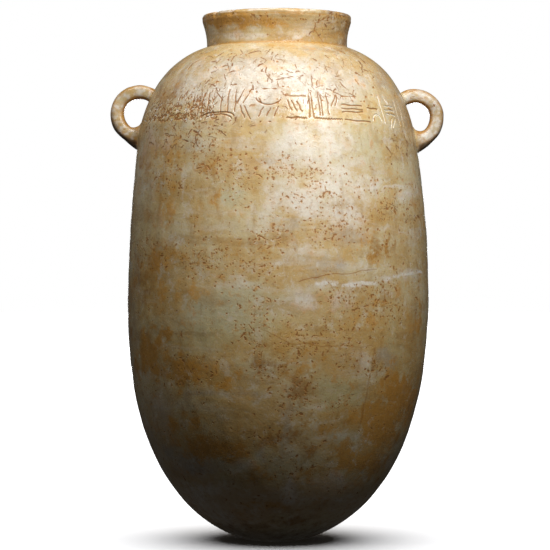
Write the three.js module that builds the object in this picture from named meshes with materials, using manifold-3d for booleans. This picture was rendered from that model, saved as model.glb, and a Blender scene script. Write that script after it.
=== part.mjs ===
// Alabastron: an egg-shaped storage jar carved from one block of veined alabaster, with a short flared
// neck and two ring handles on the shoulder. It is hollow, and stands on a small flat worked on its round
// bottom. Millimetres, +Z up, the origin at the middle of that flat, the handles to left and right on X.
import * as THREE from 'three';
import { mergeVertices } from 'three/addons/utils/BufferGeometryUtils.js';
import Module from 'manifold-3d';

// Radii of the outside
const footRadius = 28; // the flat that the jar stands on
const bellyRadius = 150; // the widest place
const shoulderInset = 13.8; // how far the turn of the shoulder lies inside the belly's radius
const neckRadius = 70; // the root of the neck
const lipOverhang = 4.6; // how far the lip flares past the neck

// Heights of the outside, each measured up from the one before it
const bellyHeight = 237;
const flankHeight = 174.5; // belly to the turn of the shoulder
const shoulderRise = 79; // turn of the shoulder to the root of the neck
const neckRise = 27.5; // root of the neck to the lip's widest place
const lipEdge = 5; // the rounded edge, in height and in width, that runs from there to the flat rim

// Walls
const wallThickness = 14; // of the belly and the shoulder
const footThickness = 24; // of the bottom, square to the surface at the edge of the foot
const neckWall = 13;
const throatRadius = 7; // the rounding where the inside of the shoulder turns up into the neck

// Ring handles: round bars bent to a circle whose centre lies by the jar's surface
const handleRadius = 22.3; // of the bar's centreline
const handleThickness = 13.8; // of the bar, across the ring
const handleWidth = 18; // of the bar, along the ring's axis
const rightStandOff = 3.5; // from the jar's surface to the ring's centre
const leftStandOff = 5.3;
const handleDrop = 70; // from the root of the neck down to the ring's centre, on the right
const handleStep = 4; // how much higher the left ring sits than the right one
const rootWidening = 5; // what each side of the bar gains along the ring's axis at its ends
const rootOutside = 11.5; // what its outer edge gains at the lower end, where it leaves the circle straight
const rootInside = 7; // what its inner edge gains there
const sideFlatness = 0.12; // how much the section's corners stand out past an ellipse

// Directions of the outline, in degrees up from the outward direction
const footLeaves = 15.5;
const shoulderTurns = 104.2;
const shoulderEnds = 163.3;

// Smoothness
const roundSegments = 58;
const bowlSteps = 12;
const flankSteps = 5;
const shoulderSteps = 11;
const insideSteps = 9; // in each of the hollow's curves
const neckSteps = 5;
const lipSteps = 3;
const throatSteps = 4;
const barSteps = 22;
const barSides = 18;

const belly = new THREE.Vector2(bellyRadius, bellyHeight);
const turn = new THREE.Vector2(bellyRadius - shoulderInset, bellyHeight + flankHeight);
const neckRoot = new THREE.Vector2(neckRadius, turn.y + shoulderRise);
const lip = new THREE.Vector2(neckRadius + lipOverhang, neckRoot.y + neckRise);
const rimHeight = lip.y + lipEdge;
const boreRadius = neckRadius - neckWall;

/** The point a given distance from another, in a direction given in degrees up from outward. */
function leaving(point, degrees, distance) {
  const angle = THREE.MathUtils.degToRad(degrees);
  return new THREE.Vector2(Math.cos(angle), Math.sin(angle)).multiplyScalar(distance).add(point);
}

/** The three curves of the egg, from the edge of the foot to the root of the neck. */
function eggCurves() {
  const foot = new THREE.Vector2(footRadius, 0);
  const bowlSpread = 0.66 * (bellyRadius - footRadius);
  const shoulderSpread = turn.x - neckRoot.x;
  return {
    bowl: new THREE.CubicBezierCurve(
      foot,
      leaving(foot, footLeaves, bowlSpread),
      leaving(belly, -90, 0.564 * bellyHeight),
      belly,
    ),
    flank: new THREE.CubicBezierCurve(
      belly,
      leaving(belly, 90, 0.495 * flankHeight),
      leaving(turn, shoulderTurns + 180, 0.033 * flankHeight),
      turn,
    ),
    shoulder: new THREE.CubicBezierCurve(
      turn,
      leaving(turn, shoulderTurns, 0.648 * shoulderRise),
      leaving(neckRoot, shoulderEnds + 180, 0.432 * shoulderSpread),
      neckRoot,
    ),
  };
}

/** The outside of the jar as a profile from the middle of the foot to the middle of the rim. */
function outerProfile() {
  const { bowl, flank, shoulder } = eggCurves();
  const neck = new THREE.CubicBezierCurve(
    neckRoot,
    leaving(neckRoot, 92, 0.45 * neckRise),
    leaving(lip, 255, 0.4 * neckRise),
    lip,
  );
  const rimCorner = new THREE.Vector2(lip.x - 0.1 * lipEdge, rimHeight - 0.1 * lipEdge);
  const rimEdge = new THREE.Vector2(lip.x - 0.8 * lipEdge, rimHeight);
  const edge = new THREE.QuadraticBezierCurve(lip, rimCorner, rimEdge);
  return [
    new THREE.Vector2(0, 0),
    ...bowl.getPoints(bowlSteps),
    ...flank.getPoints(flankSteps).slice(1),
    ...shoulder.getPoints(shoulderSteps).slice(1),
    ...neck.getPoints(neckSteps).slice(1),
    ...edge.getPoints(lipSteps).slice(1),
    new THREE.Vector2(0, rimHeight),
  ];
}

/** Points set into the stone from a curve of the outside, by a thickness that depends on the place. */
function setIn(curve, steps, thickness) {
  return curve.getPoints(steps).map((point, i) => {
    const tangent = curve.getTangent(i / steps);
    const inward = new THREE.Vector2(-tangent.y, tangent.x);
    return inward.multiplyScalar(thickness(i / steps)).add(point);
  });
}

/** The hollow as a profile from its flat floor to a little above the rim, so that it cuts the mouth open. */
function hollowProfile() {
  const { bowl, flank, shoulder } = eggCurves();
  const overshoot = 10;
  const bottom = (t) => wallThickness + (footThickness - wallThickness) * (1 - t) ** 3;
  const wall = () => wallThickness;
  const inside = [
    ...setIn(bowl, insideSteps, bottom),
    ...setIn(flank, insideSteps / 3, wall).slice(1),
    ...setIn(shoulder, insideSteps, wall).slice(1),
  ].filter((point) => point.y < belly.y || point.x > boreRadius + throatRadius);
  const last = inside.at(-1);
  const corner = new THREE.Vector2(boreRadius, last.y + 0.3 * (last.x - boreRadius));
  const throatTop = new THREE.Vector2(boreRadius, corner.y + throatRadius);
  const throat = new THREE.QuadraticBezierCurve(last, corner, throatTop);
  return [
    new THREE.Vector2(0, inside[0].y),
    ...inside,
    ...throat.getPoints(throatSteps).slice(1),
    new THREE.Vector2(boreRadius, rimHeight + overshoot),
    new THREE.Vector2(0, rimHeight + overshoot),
  ];
}

/** The radius of the jar's outside at a height between the belly and the root of the neck. */
function outerRadiusAt(height) {
  const { flank, shoulder } = eggCurves();
  const outline = [...flank.getPoints(60), ...shoulder.getPoints(60)];
  const above = outline.findIndex((point) => point.y >= height);
  return outline[above].x;
}

/**
 * One ring handle, standing out along +X. A capped cylinder is bent along an arc of the ring, and its
 * section is a rounded bar that widens at both ends, and thickens into the jar at the lower one.
 */
function handleGeometry(height, standOff) {
  const centreX = outerRadiusAt(height) + standOff;
  const [bottomEnd, thickens, topEnd] = [-100, -45, 142].map(THREE.MathUtils.degToRad);
  const bar = new THREE.CylinderGeometry(1, 1, 1, barSides, barSteps);
  const place = bar.attributes.position;
  for (let i = 0; i < place.count; i += 1) {
    const along = place.getY(i) + 0.5;
    const angle = THREE.MathUtils.lerp(bottomEnd, topEnd, along);
    const root = THREE.MathUtils.clamp((thickens - angle) / (thickens - bottomEnd), 0, 1) ** 2;
    const outer = handleRadius + handleThickness / 2 + root * rootOutside;
    const inner = handleRadius - handleThickness / 2 - root * rootInside;
    const halfWidth = handleWidth / 2 + rootWidening * Math.abs(2 * along - 1) ** 4;
    const corner = 1 + sideFlatness * (2 * place.getX(i) * place.getZ(i)) ** 2;
    const radius = (outer + inner) / 2 + (place.getX(i) * corner * (outer - inner)) / 2;
    const aside = -place.getZ(i) * corner * halfWidth;
    place.setXYZ(i, centreX + radius * Math.cos(angle), aside, height + radius * Math.sin(angle));
  }
  return bar;
}

const wasm = await Module();
wasm.setup();

/** A closed manifold solid from a three.js geometry, with doubled vertices and empty faces taken out. */
function solidOf(geometry) {
  geometry.deleteAttribute('normal');
  geometry.deleteAttribute('uv');
  const merged = mergeVertices(geometry, 1e-3);
  const index = merged.index.array;
  const faces = [];
  for (let i = 0; i < index.length; i += 3) {
    const [a, b, c] = [index[i], index[i + 1], index[i + 2]];
    if (a !== b && b !== c && c !== a) faces.push(a, b, c);
  }
  return new wasm.Manifold(
    new wasm.Mesh({
      numProp: 3,
      vertProperties: new Float32Array(merged.attributes.position.array),
      triVerts: new Uint32Array(faces),
    }),
  );
}

/** A turned solid standing on +Z, from its profile, with no column of its vertices in the handles' plane. */
function turned(profile) {
  const halfColumn = Math.PI / roundSegments / 2;
  return solidOf(new THREE.LatheGeometry(profile, roundSegments, halfColumn).rotateX(Math.PI / 2));
}

/** The handles' solids: the right ring on +X, the left ring on -X and a little higher. */
function handleSolids() {
  const rightHeight = neckRoot.y - handleDrop;
  const right = handleGeometry(rightHeight, rightStandOff);
  const left = handleGeometry(rightHeight + handleStep, leftStandOff).rotateZ(Math.PI);
  return [right, left].map(solidOf);
}

/** A three.js geometry from a manifold solid. */
function geometryOf(solid) {
  const mesh = solid.getMesh();
  const geometry = new THREE.BufferGeometry();
  geometry.setAttribute('position', new THREE.BufferAttribute(mesh.vertProperties, 3));
  geometry.setIndex(new THREE.BufferAttribute(mesh.triVerts, 1));
  geometry.computeVertexNormals();
  return geometry;
}

const stone = new THREE.MeshStandardMaterial({ color: 0xc9a872, roughness: 0.35, metalness: 0 });

let carved = turned(outerProfile());
for (const handle of handleSolids()) {
  carved = carved.add(handle);
}
carved = carved.subtract(turned(hollowProfile()));

const alabastron = new THREE.Mesh(geometryOf(carved), stone);
alabastron.name = 'alabastron';

const jar = new THREE.Group();
jar.add(alabastron);
export default jar;
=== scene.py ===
"""Dresses the alabastron: one carved mesh of veined alabaster, engraved, worn and stained, with some light
and shade painted into its colour.

The jar stands on its foot at the origin with its axis on Z, its handles left and right on X and its
engraved side towards -Y. Lengths are in metres unless a name ends in mm or degrees.
"""

import logging
import math
from dataclasses import dataclass, field, fields
from enum import Enum
from typing import ClassVar

import bpy
import numpy as np
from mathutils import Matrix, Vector


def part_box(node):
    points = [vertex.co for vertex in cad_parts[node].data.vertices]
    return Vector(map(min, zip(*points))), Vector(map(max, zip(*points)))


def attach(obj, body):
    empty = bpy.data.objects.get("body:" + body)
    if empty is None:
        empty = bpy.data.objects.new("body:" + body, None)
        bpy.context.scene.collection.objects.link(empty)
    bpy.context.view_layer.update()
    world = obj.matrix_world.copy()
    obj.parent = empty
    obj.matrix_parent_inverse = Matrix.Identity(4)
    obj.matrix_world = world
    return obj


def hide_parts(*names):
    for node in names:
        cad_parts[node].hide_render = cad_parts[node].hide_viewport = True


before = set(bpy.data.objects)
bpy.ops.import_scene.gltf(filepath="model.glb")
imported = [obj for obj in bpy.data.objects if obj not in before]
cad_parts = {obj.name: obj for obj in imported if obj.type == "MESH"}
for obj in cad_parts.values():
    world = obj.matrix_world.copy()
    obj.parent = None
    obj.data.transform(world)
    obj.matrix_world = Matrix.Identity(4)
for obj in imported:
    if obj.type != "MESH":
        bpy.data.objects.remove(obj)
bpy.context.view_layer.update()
NODE = "alabastron"
LOG = logging.getLogger("alabastron")
MM = 0.001


def smooth_step(low: float, high: float, value: np.ndarray) -> np.ndarray:
    """Rises from 0 at low to 1 at high along 3t^2 - 2t^3.

    Args:
        low: where the rise starts.
        high: where it ends; it may lie below low, for a fall.
        value: the numbers to map.

    Returns:
        The mapped numbers, from 0 to 1.
    """
    t = np.clip((value - low) / (high - low), 0.0, 1.0)
    return t * t * (3.0 - 2.0 * t)


def cubic(start: tuple, leave: tuple, arrive: tuple, end: tuple, steps: int) -> np.ndarray:
    """Points of a cubic curve: the four points weighted by (1-t)^3, 3t(1-t)^2, 3t^2(1-t) and t^3.

    Args:
        start: the first point.
        leave: the handle that the curve leaves the first point towards.
        arrive: the handle that it reaches the last point from.
        end: the last point.
        steps: how many equal steps of t to take.

    Returns:
        steps + 1 points, one a row.
    """
    t = np.linspace(0.0, 1.0, steps + 1)[:, None]
    points = [np.asarray(p, float) for p in (start, leave, arrive, end)]
    weights = ((1 - t) ** 3, 3 * t * (1 - t) ** 2, 3 * t * t * (1 - t), t**3)
    return sum(w * p for w, p in zip(weights, points))


def leaving(point: tuple, degrees: float, distance: float) -> tuple:
    """The point at a distance from another, in a direction given in degrees up from outward."""
    angle = math.radians(degrees)
    return point[0] + distance * math.cos(angle), point[1] + distance * math.sin(angle)


def evenly(points: np.ndarray, spacing: float) -> np.ndarray:
    """Places points on a path at equal lengths along it, by interpolating over its running length.

    Args:
        points: the path, one point a row.
        spacing: about how far apart the new points lie.

    Returns:
        The new points, with both ends kept.
    """
    run = np.r_[0.0, np.cumsum(np.linalg.norm(np.diff(points, axis=0), axis=1))]
    at = np.linspace(0.0, run[-1], max(2, round(run[-1] / spacing) + 1))
    return np.column_stack([np.interp(at, run, points[:, k]) for k in range(points.shape[1])])


def distance_to_path(points: np.ndarray, path: np.ndarray) -> np.ndarray:
    """Measures to the nearest place of a path: on each piece from a to b that is a plus t (b - a).

    Args:
        points: where to measure from, one a row.
        path: the corners of the path, one a row.

    Returns:
        One distance a point.
    """
    gap = np.full(len(points), np.inf)
    for a, b in zip(path[:-1], path[1:]):
        along = np.clip((points - a) @ (b - a) / max((b - a) @ (b - a), 1e-12), 0, 1)
        gap = np.minimum(gap, np.linalg.norm(points - a - along[:, None] * (b - a), axis=1))
    return gap


def bell(distance: np.ndarray, half: float) -> np.ndarray:
    """A bell curve, exp(-t^2): 1 at no distance and about a third at the half width."""
    return np.exp(-((distance / half) ** 2))


def ripples(places: np.ndarray, wavelength: float, seed: int) -> np.ndarray:
    """Smooth uneven numbers in space: the mean of plane sine waves of seeded directions and phases.

    Args:
        places: points, one a row.
        wavelength: the middle length of the waves, which range from 0.6 to 1.6 times it.
        seed: which set of waves to use.

    Returns:
        One number a point, with a spread of about 1.
    """
    waves = 14
    rng = np.random.default_rng(seed)
    directions = rng.normal(size=(waves, 3))
    directions /= np.linalg.norm(directions, axis=1, keepdims=True)
    numbers = 2 * math.pi / (wavelength * rng.uniform(0.6, 1.6, waves))
    phases = rng.uniform(0, 2 * math.pi, waves)
    return np.sin(places @ (directions * numbers[:, None]).T + phases).sum(1) / math.sqrt(waves / 2)


@dataclass
class Photograph:
    """Where the photograph was taken from, and how its 550 by 550 frame lies on the jar's axis plane."""

    distance: float = 2.35
    eye_height: float = 0.2639
    axis_column: float = 277.4
    middle: float = 275.0
    pixel: float = 1 * MM

    def across(self, column: np.ndarray) -> np.ndarray:
        """Distance to the right of the jar's axis, on the axis plane, of a column of the frame."""
        return (np.asarray(column, float) - self.axis_column) * self.pixel

    def up(self, row: np.ndarray) -> np.ndarray:
        """Height above the eye, on the axis plane, of a row of the frame."""
        return (self.middle - np.asarray(row, float)) * self.pixel

    def column_of(self, places: np.ndarray) -> np.ndarray:
        """The frame column of each point: its x shrunk by distance / (distance + y)."""
        return self.axis_column + places[:, 0] / self.pixel * self.distance / (self.distance + places[:, 1])

    def row_of(self, places: np.ndarray) -> np.ndarray:
        """The frame row of each point: its height over the eye shrunk by distance / (distance + y)."""
        lift = places[:, 2] - self.eye_height
        return self.middle - lift / self.pixel * self.distance / (self.distance + places[:, 1])


@dataclass
class Outline:
    """The jar's outside and inside as curves of radius and height.

    A direction is in degrees up from outward. A pull is how far a curve keeps to the direction at its end,
    as a share of the curve's height or width.
    """

    height: float
    belly_radius: float
    foot_radius: float = 28 * MM
    belly_height: float = 237 * MM
    turn_radius: float = 136.2 * MM
    turn_height: float = 411.5 * MM
    neck_radius: float = 70 * MM
    neck_height: float = 490.5 * MM
    lip_radius: float = 74.6 * MM
    lip_edge: float = 5 * MM
    wall: float = 14 * MM
    bottom: float = 24 * MM
    bore_radius: float = 57 * MM
    throat: float = 7 * MM
    foot_leaves: float = 15.5
    shoulder_turns: float = 104.2
    shoulder_ends: float = 163.3
    neck_leaves: float = 92
    lip_flares: float = 75
    foot_pull: float = 0.66
    bowl_pull: float = 0.564
    flank_pull: float = 0.495
    turn_pull_below: float = 0.033
    turn_pull_above: float = 0.648
    shoulder_pull: float = 0.432
    neck_pull: float = 0.45
    lip_pull: float = 0.4
    bottom_share: float = 0.6
    throat_rise: float = 0.3

    def egg(self) -> list[np.ndarray]:
        """Draws the outside from the foot to the neck as three cubic curves.

        Returns:
            The bowl, the flank and the shoulder, each as points of radius and height.
        """
        foot = (self.foot_radius, 0.0)
        belly = (self.belly_radius, self.belly_height)
        turn = (self.turn_radius, self.turn_height)
        neck = (self.neck_radius, self.neck_height)
        rise = self.turn_height - self.belly_height
        shoulder_rise = self.neck_height - self.turn_height
        shoulder_width = self.turn_radius - self.neck_radius
        bowl = cubic(
            foot,
            leaving(foot, self.foot_leaves, self.foot_pull * (self.belly_radius - self.foot_radius)),
            leaving(belly, -90, self.bowl_pull * self.belly_height),
            belly,
            200,
        )
        flank = cubic(
            belly,
            leaving(belly, 90, self.flank_pull * rise),
            leaving(turn, self.shoulder_turns + 180, self.turn_pull_below * rise),
            turn,
            120,
        )
        shoulder = cubic(
            turn,
            leaving(turn, self.shoulder_turns, self.turn_pull_above * shoulder_rise),
            leaving(neck, self.shoulder_ends + 180, self.shoulder_pull * shoulder_width),
            neck,
            120,
        )
        return [bowl, flank, shoulder]

    def neck(self) -> np.ndarray:
        """Draws the neck from its root to the widest place of the lip, flaring late.

        Returns:
            Points of radius and height.
        """
        root = (self.neck_radius, self.neck_height)
        lip = (self.lip_radius, self.height - self.lip_edge)
        rise = lip[1] - root[1]
        upward = leaving(root, self.neck_leaves, self.neck_pull * rise)
        downward = leaving(lip, self.lip_flares + 180, self.lip_pull * rise)
        return cubic(root, upward, downward, lip, 40)

    def rim_radius(self) -> float:
        """Where the rounded edge of the lip meets the flat rim."""
        return self.lip_radius - 0.8 * self.lip_edge

    def lip(self) -> np.ndarray:
        """Draws the rounded edge of the lip, from its widest place to the flat rim.

        Returns:
            Points of radius and height.
        """
        start = (self.lip_radius, self.height - self.lip_edge)
        corner = (self.lip_radius - 0.1 * self.lip_edge, self.height - 0.1 * self.lip_edge)
        return cubic(start, corner, corner, (self.rim_radius(), self.height), 20)

    def radius_at(self, heights: np.ndarray) -> np.ndarray:
        """The radius of the outside at heights up to the root of the neck."""
        points = np.vstack(self.egg())
        return np.interp(heights, points[:, 1], points[:, 0])

    def hollow(self) -> np.ndarray:
        """Draws the inside: the outside set in by the wall, square to it, and a rounded throat.

        The wall thickens from the belly's down to the bottom's over the lowest share of the height.

        Returns:
            Points of radius and height from the throat down to the edge of the floor.
        """
        points = np.vstack(self.egg())
        slope = np.gradient(points, axis=0)
        slope /= np.linalg.norm(slope, axis=1, keepdims=True)
        low = smooth_step(self.bottom_share * self.belly_height, 0, points[:, 1])
        thick = self.wall + (self.bottom - self.wall) * low
        inside = points + np.column_stack([-slope[:, 1], slope[:, 0]]) * thick[:, None]
        keep = (points[:, 1] < self.belly_height) | (inside[:, 0] > self.bore_radius + self.throat)
        inside = inside[keep]
        top = inside[-1]
        corner = (self.bore_radius, top[1] + self.throat_rise * (top[0] - self.bore_radius))
        bore = (self.bore_radius, corner[1] + self.throat)
        throat = cubic(top, corner, corner, bore, 12)
        return np.vstack([throat[::-1], inside[::-1][1:]])


class Motif(Enum):
    """The kinds of shallow stroke that the engraved row is made of."""

    UPRIGHTS = "parallel upright strokes"
    BARS = "parallel level strokes"
    SLANTS = "parallel strokes that lean to the right"
    RAKES = "parallel strokes that lean to the left"
    ARC = "a flat arc, open below"
    CUP = "a flat arc, open above"
    TEETH = "a level line of small teeth"
    DOTS = "a row of short nicks"


@dataclass(frozen=True)
class Strokes:
    """One group of strokes in the engraved row, placed as it is seen from the front.

    Sizes are in millimetres: x to the right of the jar's axis, low above the foot of the row.
    """

    motif: Motif
    x: float
    low: float
    wide: float
    tall: float
    count: int
    depth: float
    filled: float = 1.0
    lean: ClassVar[float] = 0.45
    nick_wide: ClassVar[float] = 1.6
    nick_tall: ClassVar[float] = 0.6
    waver: ClassVar[float] = 0.32
    missed: ClassVar[float] = 0.4

    def plain_lines(self) -> list[np.ndarray]:
        """Rules the strokes in the group's box: evenly spaced lines, a zigzag or half a sine wave.

        Returns:
            Paths of x and height, one point a row.
        """
        steps = np.linspace(0, 1, self.count) if self.count > 1 else np.array([0.5])
        x, low, wide, tall = self.x, self.low, self.wide, self.tall
        if self.motif is Motif.UPRIGHTS:
            return [np.array([[x + wide * s, low], [x + wide * s, low + tall]]) for s in steps]
        if self.motif is Motif.BARS:
            return [np.array([[x, low + tall * s], [x + wide, low + tall * s]]) for s in steps]
        if self.motif in (Motif.SLANTS, Motif.RAKES):
            lean = self.lean * tall if self.motif is Motif.SLANTS else -self.lean * tall
            starts = [x + max(-lean, 0) + (wide - abs(lean)) * s for s in steps]
            return [np.array([[a, low], [a + lean, low + tall]]) for a in starts]
        if self.motif is Motif.TEETH:
            teeth = np.arange(2 * self.count + 1)
            return [np.column_stack([x + wide * teeth / teeth[-1], low + tall * (teeth % 2)])]
        if self.motif is Motif.DOTS:
            half = self.nick_wide / 2
            middles = [x + wide * s for s in steps]
            return [np.array([[m - half, low], [m + half, low + self.nick_tall]]) for m in middles]
        bend = np.linspace(0, math.pi, 15)
        rise = np.sin(bend) if self.motif is Motif.ARC else 1 - np.sin(bend)
        return [np.column_stack([x + wide * (1 - np.cos(bend)) / 2, low + tall * rise])]

    def lines(self) -> list[np.ndarray]:
        """Cuts the strokes as a hand does: each path wavers by a sine and its ends miss the rule a little.

        Returns:
            Paths of x and height, one point a row.
        """
        rng = np.random.default_rng(1000 + round(10 * (self.x + 200)) + round(self.low))
        cut = []
        for line in self.plain_lines():
            path = evenly(line, 1.2)
            t = np.linspace(0, 1, len(path))[:, None]
            wave = self.waver * np.sin(2 * math.pi * (rng.uniform(0.7, 1.6, 2) * t + rng.uniform(0, 1, 2)))
            start, end = rng.normal(0, self.missed, 2), rng.normal(0, self.missed, 2)
            cut.append(path + wave + start * (1 - t) + end * t)
        return cut


@dataclass
class Engraving:
    """The row of shallow strokes round the front of the shoulder, and the worn patch at its left end.

    The worn patch's places, heights and lengths are in millimetres, as those of the strokes are.
    """

    outline: Outline
    photo: Photograph
    foot_row: float = 127.0
    sag_to_right: float = 3.2 * MM
    half_width: float = 0.65 * MM
    reach: float = 1.8 * MM
    worn_from: float = -130
    worn_to: float = -58
    worn_marks: int = 330
    worn_height: float = 31
    worn_length: tuple = (0.8, 3.6)
    worn_lean: tuple = (1.25, 0.7)
    worn_depth: tuple = (0.06, 0.24)
    worn_filled: tuple = (0.27, 1.0)
    pale_below: float = 0.35
    groups: list[Strokes] = field(default_factory=list)

    def __post_init__(self) -> None:
        """Fills in the row from left to right."""
        up, bars, slants, rakes = Motif.UPRIGHTS, Motif.BARS, Motif.SLANTS, Motif.RAKES
        self.groups = [
            Strokes(up, -83, 4, 6, 19, 2, 0.4, 0.5),
            Strokes(up, -73, 3, 5, 23, 2, 0.45, 0.7),
            Strokes(bars, -65, 27.5, 8, 0, 1, 0.7),
            Strokes(slants, -65, 16, 6, 6, 1, 0.8),
            Strokes(up, -55, 6, 14, 20, 3, 0.5, 0.85),
            Strokes(Motif.DOTS, -55, 28.5, 14, 0, 3, 0.8),
            Strokes(Motif.ARC, -72, 2, 31, 5, 1, 0.9),
            Strokes(Motif.ARC, -68, 0, 26, 4, 1, 0.7, 0.9),
            Strokes(slants, -39, 15, 13, 13, 2, 0.6),
            Strokes(rakes, -36, 0, 10, 12, 2, 0.55),
            Strokes(Motif.DOTS, -24, 28, 5, 0, 1, 0.7),
            Strokes(Motif.ARC, -21, 24, 27, 4.5, 1, 0.5, 0.9),
            Strokes(Motif.CUP, -20, 13, 24, 6, 1, 0.5, 0.9),
            Strokes(slants, -17, 2, 18, 8, 3, 0.6, 0.9),
            Strokes(Motif.DOTS, -16, -4, 9, 0, 2, 0.7),
            Strokes(bars, 8.5, 21.5, 20, 5.5, 3, 0.6, 0.95),
            Strokes(rakes, 10, 7, 14, 10, 3, 0.5, 0.85),
            Strokes(Motif.TEETH, 9, -0.4, 19, 1.4, 9, 0.55, 0.95),
            Strokes(up, 32, 1, 3, 27, 2, 0.7),
            Strokes(up, 41, 3, 3, 24, 2, 0.7),
            Strokes(up, 50, 4, 0, 21, 1, 0.55, 0.8),
            Strokes(Motif.DOTS, 41, 29.5, 10, 0, 2, 0.8),
            Strokes(Motif.TEETH, 37, -0.6, 25, 1.3, 11, 0.55, 0.95),
            Strokes(slants, 54, 13, 8, 12, 2, 0.5, 0.85),
            Strokes(Motif.ARC, 63, 26, 18, 2.6, 1, 0.6),
            Strokes(Motif.ARC, 64, 21.5, 16, 2.2, 1, 0.6),
            Strokes(bars, 64, 8.5, 20, 6, 3, 0.55, 0.9),
            Strokes(bars, 65, 0, 24, 0, 1, 0.5, 0.9),
            Strokes(bars, 85, 26.5, 13, 0, 1, 0.7),
            Strokes(bars, 89, 13, 10, 0, 1, 0.6, 0.9),
            Strokes(Motif.DOTS, 84, 18, 0, 0, 1, 0.8),
            Strokes(Motif.ARC, 92, 1, 9, 7, 1, 0.7, 0.3),
            Strokes(up, 103.5, 0, 0, 27, 1, 0.8, 0.0),
            Strokes(bars, 107, 9, 9, 8, 3, 0.8, 0.0),
            Strokes(rakes, 107, 20, 6, 8, 2, 0.7, 0.0),
            Strokes(slants, 109, -3, 7, 8, 2, 0.8, 0.0),
            Strokes(up, 120, 0, 4, 25, 2, 0.8, 0.0),
        ]

    def foot_height(self, across: np.ndarray) -> np.ndarray:
        """Height of the row's foot: level to the middle, then sinking to the right as a square."""
        level = self.photo.eye_height + self.photo.up(self.foot_row)
        return level - self.sag_to_right * np.clip(across / self.outline.turn_radius, 0, 1) ** 2

    def unrolled(self, across: np.ndarray) -> np.ndarray:
        """Distance round the turn of the shoulder, from the front, of an x that is seen from the front."""
        turn = self.outline.turn_radius
        return turn * np.arcsin(np.clip(across / turn, -0.995, 0.995))

    def worn_lines(self) -> list[np.ndarray]:
        """Scatters short marks of seeded place, length and lean where the row is worn away.

        Returns:
            Straight paths of x and height, denser low down and to the left.
        """
        rng = np.random.default_rng(5)
        x = self.worn_from + (self.worn_to - self.worn_from) * rng.beta(1.1, 1.3, self.worn_marks)
        low = self.worn_height * rng.beta(1.0, 1.7, self.worn_marks) - 1
        length = rng.uniform(*self.worn_length, self.worn_marks)
        lean = rng.normal(*self.worn_lean, self.worn_marks)
        ends = np.column_stack([x + length * np.cos(lean), low + length * np.sin(lean)])
        return [np.array([[a, b], end]) for a, b, end in zip(x, low, ends)]

    def carve(self, places: np.ndarray, around: np.ndarray) -> tuple[np.ndarray, np.ndarray, np.ndarray]:
        """Cuts the strokes: the depth is a parabola of the distance to the nearest stroke.

        Args:
            places: points on the plain surface, one a row.
            around: the distance of each round the jar from the front.

        Returns:
            The depth, and the nearness of a brown stroke and of a pale one: 1 on its middle line, falling
            evenly to 0 at the reach of the engraving.
        """
        depth = np.zeros(len(places))
        brown = np.zeros(len(places))
        pale = np.zeros(len(places))
        rng = np.random.default_rng(11)
        jobs = [(line, g.depth, g.filled) for g in self.groups for line in g.lines()]
        for line in self.worn_lines():
            jobs.append((line, rng.uniform(*self.worn_depth), rng.uniform(*self.worn_filled)))
        unrolled = np.column_stack([around, places[:, 2]])
        for line, deep, filled in jobs:
            across = line[:, 0] * MM
            path = np.column_stack([self.unrolled(across), self.foot_height(across) + line[:, 1] * MM])
            low, high = path.min(0) - self.reach, path.max(0) + self.reach
            near = np.nonzero(((unrolled > low) & (unrolled < high)).all(axis=1))[0]
            if not len(near):
                continue
            gap = distance_to_path(unrolled[near], path)
            cut = np.clip(1 - (gap / self.half_width) ** 2, 0, 1)
            depth[near] = np.maximum(depth[near], deep * MM * cut)
            nearness = brown if filled > self.pale_below else pale
            nearness[near] = np.maximum(nearness[near], np.clip(1 - gap / self.reach, 0, 1))
        return depth, brown, pale


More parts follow.
